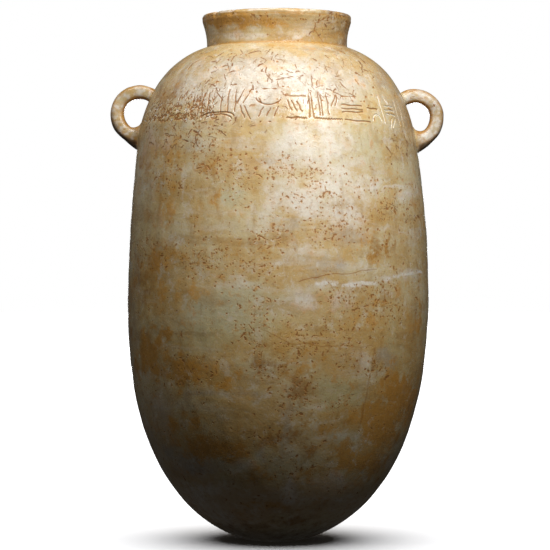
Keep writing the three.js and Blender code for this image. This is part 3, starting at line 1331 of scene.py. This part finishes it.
    def graph(self, material: bpy.types.Material, photo: Photograph) -> None:
        """Builds the shader: veined stone with its stains, lines, specks and strokes, its painted
        highlights, reflection and shade, a darker inside, and its gloss.

        Args:
            material: the material to fill.
            photo: how the frame lies on the jar.
        """
        g = Graph(material)
        place = g.wire("ShaderNodeTexCoord", {}, {}, "Object")
        uneven = self.unevenness(g, place)
        base = self.veined(g, uneven)
        base = self.lined(g, place, photo, base, uneven)
        base, marks = self.marked(g, place, base, uneven)
        mottle, blotch = uneven.mottle, uneven.blotch
        wear = (mottle - 0.5) * 0.9 + (blotch - 0.5) * 0.8 + (uneven.veil - 0.5) * 0.5
        dull = marks.flecks * 0.25 + marks.cut * 0.3 + marks.strokes * 0.25 + marks.shade_and_grime * 0.2
        rough = (wear + dull + 0.34).rise(0.0, 1.0) * 0.62 + 0.16
        relief = uneven.grain * 0.22 + mottle * 0.65 + blotch * 0.6
        relief = relief - marks.flecks * 0.5 - marks.strokes * 0.6
        relief = relief - marks.cut * 0.5 - marks.pale * 0.5
        bump = {"Height": relief, "Distance": self.bump_height, "Strength": self.bump_strength}
        sockets = {
            "Base Color": base,
            "Roughness": rough,
            "Normal": g.wire("ShaderNodeBump", {}, bump, "Normal"),
            "IOR": self.refraction,
            "Subsurface Weight": self.glow,
            "Subsurface Radius": self.glow_reach,
            "Subsurface Scale": self.glow_scale,
        }
        shader = g.wire("ShaderNodeBsdfPrincipled", {}, sockets, "BSDF")
        g.node("ShaderNodeOutputMaterial", {}, {"Surface": shader})

    def unevenness(self, g: Graph, place: Wire) -> Unevenness:
        """Adds the stone's noises, on places pushed about a little so that none looks ruled.

        Args:
            g: the material's nodes.
            place: where the surface is.

        Returns:
            The noises.
        """
        wide = self.warped(g, place, 12.0, 30 * MM)
        fine = self.warped(g, place, 70.0, 8 * MM)
        return Unevenness(
            cloud=g.noise(g.vector("MULTIPLY", wide, (1.0, 1.0, 1.3)), 14.0, 5.0, 0.62),
            veil=g.noise(g.vector("MULTIPLY", wide, (1.0, 1.0, 1.1)), 34.0, 6.0, 0.68),
            bands=g.noise(g.vector("MULTIPLY", wide, (0.8, 0.8, 5.0)), 14.0, 4.0, 0.6),
            runs=g.noise(g.vector("MULTIPLY", fine, (1.0, 1.0, 0.16)), 75.0, 3.0, 0.6),
            blotch=g.noise(fine, 75.0, 5.0, 0.7),
            mottle=g.noise(fine, 210.0, 4.0, 0.7),
            grain=g.noise(place, 620.0, 2.0, 0.6),
        )

    def veined(self, g: Graph, uneven: Unevenness) -> Wire:
        """Lays the stone's tones over each other, from broad clouds and stains to a fine grain.

        Args:
            g: the material's nodes.
            uneven: the noises that the tones come and go by.

        Returns:
            The stone's colour.
        """
        veil, bands, blotch, mottle = uneven.veil, uneven.bands, uneven.blotch, uneven.mottle
        ambered, browned = g.attribute("ambered"), g.attribute("browned")
        milky_and_sheen, ashen_and_reflection = g.attribute("milky_and_sheen"), g.attribute("ashen_and_reflection")
        base = g.mix((uneven.cloud * 0.6 + veil * 0.4).rise(0.43, 0.58), self.honey, self.cream)
        shift = (veil - 0.5) * 1.6 + (blotch - 0.5) * 1.0
        base = g.mix((g.attribute("faded") + shift).rise(0.15, 0.9) * 0.85, base, self.straw)
        base = g.mix((g.attribute("peachy") + shift).rise(0.15, 0.9) * 0.75, base, self.peach)
        base = g.mix(bands.rise(0.54, 0.68) * 0.28, base, self.milk_and_sheen)
        base = g.mix(bands.rise(0.45, 0.34) * 0.28, base, self.umber)
        # Grey stone, and the painted reflection down the left edge.
        base = g.mix((ashen_and_reflection + (veil - 0.5) * 1.2).rise(0.15, 1.0) * 0.85, base, self.ash_and_reflection)
        amber = ambered + (veil - 0.5) * 2.2 + (blotch - 0.5) * 2.4
        base = g.mix(amber.rise(0.22, 0.85) * 0.95, base, self.amber)
        # Milky stone, with the painted highlights on the shoulder, the neck and the lip, and the painted
        # sheen on the rings.
        milk_and_sheen = milky_and_sheen + (veil - 0.5) * 1.8 + (blotch - 0.5) * 1.8
        base = g.mix(milk_and_sheen.rise(0.25, 1.1) * 0.85, base, self.milk_and_sheen)
        brown = browned + (veil - 0.5) * 1.6 + (blotch - 0.5) * 2.6
        base = g.mix(brown.rise(0.3, 1.05) * 0.75, base, self.umber)
        base = g.mix(uneven.runs.rise(0.54, 0.70) * 0.28, base, self.umber)
        base = g.mix(blotch.rise(0.53, 0.70) * 0.5, base, self.amber)
        base = g.mix(blotch.rise(0.46, 0.33) * 0.42, base, self.milk_and_sheen)
        base = g.mix(mottle.rise(0.53, 0.72) * 0.45, base, self.umber)
        base = g.mix(mottle.rise(0.46, 0.30) * 0.26, base, self.milk_and_sheen)
        return g.mix(uneven.grain.rise(0.50, 0.75) * 0.08, base, self.umber)

    def lined(self, g: Graph, place: Wire, photo: Photograph, base: Wire, uneven: Unevenness) -> Wire:
        """Draws the pale streaks and the dark veins over the stone.

        Args:
            g: the material's nodes.
            place: where the surface is.
            photo: how the frame lies on the jar.
            base: the stone's colour.
            uneven: the noises that break the lines up.

        Returns:
            The colour with the lines.
        """
        frayed = self.warped(g, place, 45.0, 9 * MM)
        streaks = self.drawn(g, frayed, photo, self.streaks)
        broken = (uneven.mottle * 0.5 + uneven.blotch * 0.5).rise(0.38, 0.56)
        base = g.mix(streaks * broken, base, self.milk_and_sheen)
        lines = self.drawn(g, frayed, photo, self.veins)
        return g.mix(lines * (uneven.blotch * 1.6 + 0.1), base, self.rust)

    def marked(self, g: Graph, place: Wire, base: Wire, uneven: Unevenness) -> tuple[Wire, Marks]:
        """Adds the glaze, flecks, scratches, engraved strokes, golden edges, and the painted shade at the
        foot and under the rings with the darker inside.

        Args:
            g: the material's nodes.
            place: where the surface is.
            base: the stone's colour.
            uneven: the noises that fray the marks.

        Returns:
            The finished colour, and how much of each kind of mark shows.
        """
        mottle, blotch, grain = uneven.mottle, uneven.blotch, uneven.grain
        bent = self.warped(g, place, 300.0, 3.4 * MM)
        base = g.mix(g.attribute("warmed"), base, g.vector("MULTIPLY", base, self.glaze))
        flecks, halo = self.dashes(g, place, bent, self.flecks, g.attribute("speckled"), grain, 0.01)
        base = g.mix(halo * 0.35, base, self.amber)
        base = g.mix(flecks * 0.85, base, self.rust)
        bent = self.warped(g, place, 240.0, 2.0 * MM)
        strokes, bruise = self.dashes(g, place, bent, self.scratches, g.attribute("scratched"), grain, 0.0)
        base = g.mix(bruise * 0.25, base, self.umber)
        base = g.mix(strokes * 0.9, base, self.plum)
        cut = (g.attribute("cut") + (mottle - 0.5) * 0.4).rise(0.58, 0.78)
        pale = (g.attribute("pale") + (mottle - 0.5) * 0.5).rise(0.60, 0.85)
        base = g.mix(cut * 0.9, base, self.fill)
        base = g.mix(pale * 0.85, base, self.bare)
        base = g.mix(g.attribute("golden") * (0.5 + blotch * 0.8), base, self.golden)
        # Painted shade at the foot and under the rings, and a darker inside, mixed towards one dark tone.
        shade_and_grime = g.attribute("shade_and_grime")
        base = g.mix((shade_and_grime + (blotch - 0.5) * 0.6).rise(0.2, 1.1) * 0.8, base, self.shade_and_grime_tone)
        return base, Marks(flecks, strokes, cut, pale, shade_and_grime)

    def warped(self, g: Graph, place: Wire, scale: float, reach: float) -> Wire:
        """A place pushed about by a coloured noise, by up to about a third of the reach.

        Args:
            g: the material's nodes.
            place: where the surface is.
            scale: the noise's scale.
            reach: how far a full colour would push.

        Returns:
            The pushed place.
        """
        sockets = {"Vector": place, "Scale": scale, "Detail": 2.0}
        shove = g.wire("ShaderNodeTexNoise", {}, sockets, "Color")
        centred = g.vector("SUBTRACT", shove, (0.5, 0.5, 0.5))
        return g.vector("ADD", place, g.vector("SCALE", centred, Scale=reach))

    def drawn(self, g: Graph, place: Wire, photo: Photograph, veins: tuple) -> Wire:
        """Lines on the front: how near each place, as the frame sees it, lies to a path's segments.

        A place is moved along the line of sight into the jar's axis plane by distance / (distance + y).
        On a segment from a to b the nearest point is a plus t times (b - a), with t the share of the way
        along it, kept from 0 to 1.

        Args:
            g: the material's nodes.
            place: where the surface is, pushed about a little.
            photo: how the frame lies on the jar.
            veins: the lines.

        Returns:
            How much of a line shows.
        """
        parts = g.node("ShaderNodeSeparateXYZ", {}, {"Vector": place})
        x, y, z = (Wire(g, parts.outputs[n]) for n in "XYZ")
        nearer = photo.distance / (y + photo.distance)
        sockets = {"X": x * nearer, "Y": (z - photo.eye_height) * nearer, "Z": 0.0}
        seen = g.wire("ShaderNodeCombineXYZ", {}, sockets, "Vector")
        shown = None
        for vein in veins:
            path = [(float(photo.across(c)), float(photo.up(r)), 0.0) for c, r in vein.points]
            gap = None
            for start, end in zip(path[:-1], path[1:]):
                way = tuple(b - a for a, b in zip(start, end))
                off = g.vector("SUBTRACT", seen, start)
                along = g.vector("DOT_PRODUCT", off, way, output="Value")
                sockets = {"Value": along, "From Max": math.hypot(*way) ** 2}
                share = g.wire("ShaderNodeMapRange", {}, sockets, "Result")
                reached = g.vector("SCALE", way, Scale=share)
                this = g.vector("DISTANCE", off, reached, output="Value")
                gap = this if gap is None else g.math("MINIMUM", gap, this)
            thin = vein.half_thin * photo.pixel
            line = gap.rise(1.6 * thin, 0.4 * thin) * vein.strength
            shown = line if shown is None else g.math("MAXIMUM", shown, line)
        return shown * y.rise(0.02, -0.02)

    def dashes(
        self, g: Graph, place: Wire, bent: Wire, layers: tuple, density: Wire, grain: Wire, always: float
    ) -> tuple[Wire, Wire]:
        """Adds layers of dashes, each through its cell's middle and at its cell's own lean and size.

        The way from the cell's middle is split into a part round the jar and a part up it and turned by
        an angle from the cell's own number. The length of that way, with each part over its half length,
        is 1 on the dash's edge. A cell has a dash where its other number falls under the density.

        Args:
            g: the material's nodes.
            place: where the surface is.
            bent: the same, pushed about a little.
            layers: the layers of dashes.
            density: how many cells have one, from 0 to 1.
            grain: a fine noise that frays the edges.
            always: the share of cells that have one where the density is nil.

        Returns:
            How much of the dashes shows, and how much of the stain round them.
        """
        flat = g.vector("MULTIPLY", place, (1.0, 1.0, 0.0))
        round_way = g.vector("NORMALIZE", g.vector("CROSS_PRODUCT", (0.0, 0.0, 1.0), flat))
        marks, stain = None, None
        for layer in layers:
            sockets = {"Vector": bent, "Scale": layer.cells_per_metre}
            cell = g.node("ShaderNodeTexVoronoi", {}, sockets)
            numbers = g.node("ShaderNodeSeparateColor", {}, {"Color": Wire(g, cell.outputs["Color"])})
            red, green, blue = (Wire(g, numbers.outputs[n]) for n in ("Red", "Green", "Blue"))
            away = g.vector("SUBTRACT", bent, Wire(g, cell.outputs["Position"]))
            a = g.vector("DOT_PRODUCT", away, round_way, output="Value")
            b = g.wire("ShaderNodeSeparateXYZ", {}, {"Vector": away}, "Z")
            lean = green * layer.lean_spread + (layer.lean - layer.lean_spread / 2)
            cos, sin = g.math("COSINE", lean), g.math("SINE", lean)
            along = a * cos + b * sin
            across = b * cos - a * sin + along * along * ((blue - 0.5) * layer.bend * 2)
            size = blue * blue * 1.3 + 0.35
            edge = g.math("ABSOLUTE", along / layer.half_long) ** 2
            edge = edge + g.math("ABSOLUTE", across / layer.half_thin) ** 2
            reach = edge / (size * size) + (grain - 0.5) * 2.4
            chosen = (density * layer.share + always - red).rise(0.0, 0.03)
            chosen = chosen * (blue * 0.75 + 0.35)
            mark, round_it = reach.rise(1.4, 0.6) * chosen, reach.rise(9.0, 0.5) * chosen
            marks = mark if marks is None else g.math("MAXIMUM", marks, mark)
            stain = round_it if stain is None else g.math("MAXIMUM", stain, round_it)
        return marks, stain


@dataclass
class Jar:
    """The whole jar: body and handles joined into one closed piece, painted and dressed."""

    outline: Outline
    photo: Photograph
    engraving: Engraving
    vessel: Vessel
    handles: list[RingHandle]
    finish: Alabaster

    def join(self) -> bpy.types.Object:
        """Unites the body with its handles and keeps the result as a plain mesh.

        Returns:
            The jar.
        """
        body = self.vessel.build()
        for handle in self.handles:
            bar = handle.build()
            union = body.modifiers.new(bar.name, "BOOLEAN")
            union.operation = "UNION"
            union.solver = "EXACT"
            union.object = bar
        bpy.context.view_layer.update()
        depsgraph = bpy.context.evaluated_depsgraph_get()
        mesh = bpy.data.meshes.new_from_object(body.evaluated_get(depsgraph))
        for spent in [union.object for union in body.modifiers] + [body]:
            bpy.data.objects.remove(spent)
        mesh.name = "jar"
        jar = bpy.data.objects.new("jar", mesh)
        bpy.context.scene.collection.objects.link(jar)
        mesh.shade_smooth()
        return jar

    def from_rings(self, places: np.ndarray) -> np.ndarray:
        """Measures how far points lie from the nearest ring's centre, in the plane of the rings.

        Args:
            places: the points, one a row.

        Returns:
            One distance a point, made much longer away from that plane.
        """
        gaps = []
        for handle in self.handles:
            gap = np.hypot(places[:, 0] - handle.side * handle.centre(), places[:, 2] - handle.height)
            gaps.append(gap + 10 * np.maximum(np.abs(places[:, 1]) - 20 * MM, 0))
        return np.minimum(*gaps)

    def up_the_ring(self, places: np.ndarray) -> np.ndarray:
        """Says how high points lie on their ring.

        Args:
            places: the points, one a row.

        Returns:
            One number a point, from 1 at the ring's top to -1 at its bottom.
        """
        right, left = self.handles
        middle = np.where(places[:, 0] > 0, right.height, left.height)
        return (places[:, 2] - middle) / (right.ring_radius + right.thickness / 2)

    def engraved(self, places: np.ndarray, proud: np.ndarray) -> dict[str, np.ndarray]:
        """Finds how near the points of the outside lie to a brown stroke and to a pale one.

        Args:
            places: the points, one a row.
            proud: how far each stands out of the plain outline.

        Returns:
            The two nearnesses, by the names that the finish reads.
        """
        plain = places.copy()
        plain[:, 0] -= np.interp(places[:, 2], self.vessel.lean_heights, self.vessel.lean)
        around = self.outline.turn_radius * np.arctan2(plain[:, 0], -plain[:, 1])
        _, cut, pale = self.engraving.carve(plain, around)
        skin = smooth_step(3.5 * MM, 2.0 * MM, np.abs(proud))
        return {"cut": cut * skin, "pale": pale * skin}

    def ring_wear(self, places: np.ndarray, gap: np.ndarray) -> tuple[np.ndarray, np.ndarray, np.ndarray]:
        """Wears the rings: frosted in ripples, partly pale stone and partly a painted sheen for their
        brightly lit fronts, golden at the eye and the outer edge, and darkened underneath as painted shade.

        Args:
            places: the points, one a row.
            gap: how far each lies from its ring's centre.

        Returns:
            The frost with its painted sheen, the gold and the painted shade underneath, one number a point
            each.
        """
        bar = self.handles[0].ring_radius
        # Partly the stone's pale tone, partly a painted sheen for the brightly lit fronts of the rings.
        frost_and_sheen = 0.68 + 0.2 * ripples(places, 10 * MM, 74) + 0.3 * ripples(places, 3.5 * MM, 76)
        eye_edge = smooth_step(bar - 3.6 * MM, bar - 5.8 * MM, gap)
        outer_edge = smooth_step(bar + 2 * MM, bar + 6.5 * MM, gap)
        patchy = 0.5 + 0.5 * smooth_step(-0.8, 0.8, ripples(places, 12 * MM, 73))
        # Painted shade: the outer edge darker below the ring's middle, where the ring faces down.
        shade_and_grime = 0.9 * outer_edge * smooth_step(0.35, -0.5, self.up_the_ring(places))
        return np.clip(frost_and_sheen, 0, 1), np.maximum(eye_edge, outer_edge * patchy), shade_and_grime

    def neck_wear(self, places: np.ndarray, radius: np.ndarray) -> tuple[np.ndarray, np.ndarray]:
        """Wears the lip pale in patches, which also paint the highlight along its top edge, and stains its
        ledge and the root of the neck golden.

        The two golden lines are bell curves of the height.

        Args:
            places: the points, one a row.
            radius: how far each lies from the axis.

        Returns:
            The pale patches with their painted highlight, and the gold, one number a point each.
        """
        o = self.outline
        heights = places[:, 2]
        # Partly pale wear, partly a painted highlight along the top edge of the lip.
        pale = smooth_step(o.height - 4.2 * MM, o.height - 1.5 * MM, heights) * (radius > 60 * MM)
        pale *= 0.9 * smooth_step(-1.2, 1.2, ripples(places * [1, 1, 4], 16 * MM, 71))
        pale *= smooth_step(80 * MM, 30 * MM, places[:, 0])
        root = bell(heights - o.neck_height, 1.1 * MM) * (radius < 73.5 * MM)
        ledge = bell(heights - o.height + o.lip_edge, 0.7 * MM) * (radius > 66 * MM)
        ledge *= smooth_step(-0.6, 0.5, ripples(places, 30 * MM, 72))
        return pale, np.maximum(root, 0.8 * ledge)

    def hollow_share(self, places: np.ndarray, radius: np.ndarray, proud: np.ndarray) -> np.ndarray:
        """Tells the inside from the outside.

        Args:
            places: the points, one a row.
            radius: how far each lies from the axis.
            proud: how far each stands out of the plain outline.

        Returns:
            One number a point: 1 inside the jar and its neck, 0 outside.
        """
        below_neck = smooth_step(2 * MM, 8 * MM, -proud) * (places[:, 2] < self.outline.neck_height)
        in_neck = (radius < self.outline.bore_radius + 1 * MM) & (places[:, 2] > 50 * MM)
        return np.maximum(below_neck, in_neck)

    def paint(self, jar: bpy.types.Object) -> None:
        """Writes the numbers that the finish reads onto the jar's points.

        Args:
            jar: the joined jar.
        """
        places = np.empty(len(jar.data.vertices) * 3)
        jar.data.vertices.foreach_get("co", places)
        places = places.reshape(-1, 3)
        radius = np.hypot(places[:, 0], places[:, 1])
        proud = radius - self.outline.radius_at(places[:, 2])
        gap = self.from_rings(places)
        on_ring = smooth_step(0.0, 3.0 * MM, proud) * smooth_step(50 * MM, 40 * MM, gap)
        inside = self.hollow_share(places, radius, proud)
        # The rings' frost and painted sheen, their gold, and their painted shade underneath.
        frost_and_sheen, ring_gold, ring_underside_shade = self.ring_wear(places, gap)
        pale_lip_and_highlight, neck_gold = self.neck_wear(places, radius)
        heights = places[:, 2]
        # Painted shade: darker towards the foot over the lowest 90 mm, and more so over the lowest 30 mm.
        bottom = 0.4 * smooth_step(90 * MM, 0, heights) + 0.5 * smooth_step(30 * MM, 4 * MM, heights)

        tones = {name: stain.spread(self.photo, places) for name, stain in self.finish.stains().items()}
        # The pale lip: wear and a painted highlight.
        tones["milky_and_sheen"] = np.maximum(tones["milky_and_sheen"], pale_lip_and_highlight)
        for name in ("ambered", "browned", "ashen_and_reflection", "milky_and_sheen", "faded", "peachy", "warmed"):
            tones[name] *= 1 - on_ring
        tones["ambered"] += 0.4 * on_ring * (places[:, 0] < 0)
        # Darker and browner inside the jar and its neck.
        tones["browned"] += 0.5 * inside
        tones["ashen_and_reflection"] += 0.35 * on_ring
        # The rings' frost: pale stone and a painted sheen.
        tones["milky_and_sheen"] += frost_and_sheen * on_ring
        tones["speckled"] += 0.07 + 0.12 * on_ring
        tones["golden"] = np.maximum(ring_gold * on_ring, neck_gold)
        # One dark layer: the painted shade at the foot and under the rings, and the darker inside.
        tones["shade_and_grime"] = np.maximum.reduce([bottom, 0.55 * inside, ring_underside_shade * on_ring])
        tones.update(self.engraved(places, proud))
        for name, values in tones.items():
            layer = jar.data.attributes.new(name, "FLOAT", "POINT")
            layer.data.foreach_set("value", np.clip(values, 0, 1).astype(np.float32))

    def build(self) -> bpy.types.Object:
        """Joins, paints and dresses the jar, and puts it in place of the solid.

        Returns:
            The finished jar.
        """
        jar = self.join()
        self.paint(jar)
        stone = bpy.data.materials.new("alabaster")
        self.finish.graph(stone, self.photo)
        jar.data.materials.clear()
        jar.data.materials.append(stone)
        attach(jar, "root")
        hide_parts(NODE)
        return jar


@dataclass
class Softbox:
    """A rectangular studio light that looks at a point."""

    name: str
    place: tuple
    target: tuple
    width: float
    height: float
    watts: float
    spread_degrees: float

    def build(self) -> bpy.types.Object:
        """Adds the light, turned to its target.

        Returns:
            The light.
        """
        lamp = bpy.data.lights.new(self.name, "AREA")
        lamp.shape = "RECTANGLE"
        lamp.size, lamp.size_y = self.width, self.height
        lamp.energy = self.watts
        lamp.spread = math.radians(self.spread_degrees)
        made = bpy.data.objects.new(self.name, lamp)
        made.location = self.place
        aim = Vector(self.target) - Vector(self.place)
        made.rotation_euler = aim.to_track_quat("-Z", "Y").to_euler()
        bpy.context.scene.collection.objects.link(made)
        return made


@dataclass
class Studio:
    """The pale floor, the lights, the white surroundings and the camera."""

    photo: Photograph
    floor_half: float = 14.0
    floor_tone: tuple = (0.86, 0.86, 0.87)
    overhead: float = 5.5
    overhead_degrees: float = 86.0
    fill: float = 0.03
    lights: list[Softbox] = field(default_factory=list)

    def __post_init__(self) -> None:
        """Fills in the softboxes: three in front of and above the jar, and three behind it."""
        self.lights = [
            Softbox("near_right", (0.25, -0.50, 0.75), (0.05, -0.14, 0.38), 0.25, 0.25, 0.84, 80),
            Softbox("near_left", (-0.32, -0.42, 0.88), (-0.09, -0.09, 0.40), 0.25, 0.25, 0.28, 75),
            Softbox("above", (0.0, -0.35, 1.20), (0.0, -0.10, 0.45), 0.45, 0.35, 0.82, 80),
            Softbox("behind_left", (-1.1, 0.9, 0.9), (0.0, 0.0, 0.35), 1.2, 1.0, 0.5, 150),
            Softbox("behind", (0.0, 1.9, 0.30), (0.0, 0.0, 0.25), 0.9, 0.5, 8.0, 150),
            Softbox("behind_right", (1.1, 0.9, 0.9), (0.0, 0.0, 0.35), 1.2, 1.0, 0.4, 150),
        ]

    def build_floor(self) -> bpy.types.Object:
        """Lays a broad pale floor, which the camera sees and shadows fall on but which lights nothing.

        Returns:
            The floor.
        """
        s = self.floor_half
        corners = np.array([[-s, -s, 0], [s, -s, 0], [s, s, 0], [-s, s, 0]])
        floor = new_object("floor", corners, [[0, 1, 2, 3]])
        paper = bpy.data.materials.new("pale_paper")
        g = Graph(paper)
        shader = g.wire("ShaderNodeBsdfDiffuse", {}, {"Color": rgba(self.floor_tone)}, "BSDF")
        g.node("ShaderNodeOutputMaterial", {}, {"Surface": shader})
        floor.data.materials.append(paper)
        floor.visible_diffuse = False
        floor.visible_glossy = False
        return floor

    def build_surroundings(self) -> None:
        """Makes the surroundings white to the eye, and dim to the stone."""
        world = bpy.data.worlds.new("surroundings")
        bpy.context.scene.world = world
        g = Graph(world)
        white = rgba((1.0, 1.0, 1.0))
        dim = g.wire("ShaderNodeBackground", {}, {"Color": white, "Strength": self.fill}, "Background")
        bright = g.wire("ShaderNodeBackground", {}, {"Color": white}, "Background")
        seen = g.wire("ShaderNodeLightPath", {}, {}, "Is Camera Ray")
        sockets = {"Fac": seen, "Shader": dim, "Shader_001": bright}
        chosen = g.wire("ShaderNodeMixShader", {}, sockets, "Shader")
        g.node("ShaderNodeOutputWorld", {}, {"Surface": chosen})

    def build_overhead(self, floor: bpy.types.Object) -> None:
        """Adds a wide soft light from straight above, on the floor alone, which the jar shades.

        Args:
            floor: the floor.
        """
        sun = bpy.data.lights.new("overhead", "SUN")
        sun.energy = self.overhead
        sun.angle = math.radians(self.overhead_degrees)
        made = bpy.data.objects.new("overhead", sun)
        bpy.context.scene.collection.objects.link(made)
        self.only_on(made, floor)

    def only_on(self, light: bpy.types.Object, lit: bpy.types.Object) -> None:
        """Keeps a light to one object.

        Args:
            light: the light.
            lit: the one object that it lights.
        """
        receivers = bpy.data.collections.new(f"{light.name}_receivers")
        receivers.objects.link(lit)
        light.light_linking.receiver_collection = receivers

    def build_camera(self) -> None:
        """Sets up a level camera at the photograph's distance and eye height, with its narrow view."""
        lens = bpy.data.cameras.new("camera")
        half_frame = self.photo.middle * self.photo.pixel
        lens.sensor_fit = "HORIZONTAL"
        lens.angle = 2 * math.atan(half_frame / self.photo.distance)
        camera = bpy.data.objects.new("camera", lens)
        aside = float(self.photo.across(self.photo.middle))
        camera.location = (aside, -self.photo.distance, self.photo.eye_height)
        camera.rotation_euler = (math.radians(90), 0, 0)
        bpy.context.scene.collection.objects.link(camera)
        bpy.context.scene.camera = camera

    def build(self, jar: bpy.types.Object) -> None:
        """Builds the whole studio round the jar, with the softboxes kept to the jar alone.

        Args:
            jar: the finished jar.
        """
        bpy.context.scene.view_settings.view_transform = "Standard"
        floor = self.build_floor()
        self.build_surroundings()
        self.build_overhead(floor)
        for light in self.lights:
            self.only_on(light.build(), jar)
        self.build_camera()


def main() -> None:
    logging.basicConfig(level=logging.INFO, format="%(name)s: %(message)s")
    _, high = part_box(NODE)
    outline = Outline(height=high.z, belly_radius=high.y)
    photo = Photograph()
    engraving = Engraving(outline, photo)
    handle_drop, left_step = 70 * MM, 4 * MM
    right_height = outline.neck_height - handle_drop
    handles = [
        RingHandle(outline, side=1, height=right_height, stand_off=3.5 * MM, seed=51),
        RingHandle(outline, side=-1, height=right_height + left_step, stand_off=5.3 * MM, seed=61),
    ]
    jar = Jar(outline, photo, engraving, Vessel(outline, engraving), handles, Alabaster()).build()
    Studio(photo).build(jar)
    triangles = sum(len(face.vertices) - 2 for face in jar.data.polygons)
    LOG.info("%s: %d points, %d triangles", jar.name, len(jar.data.vertices), triangles)


if __name__ == "__main__":
    main()
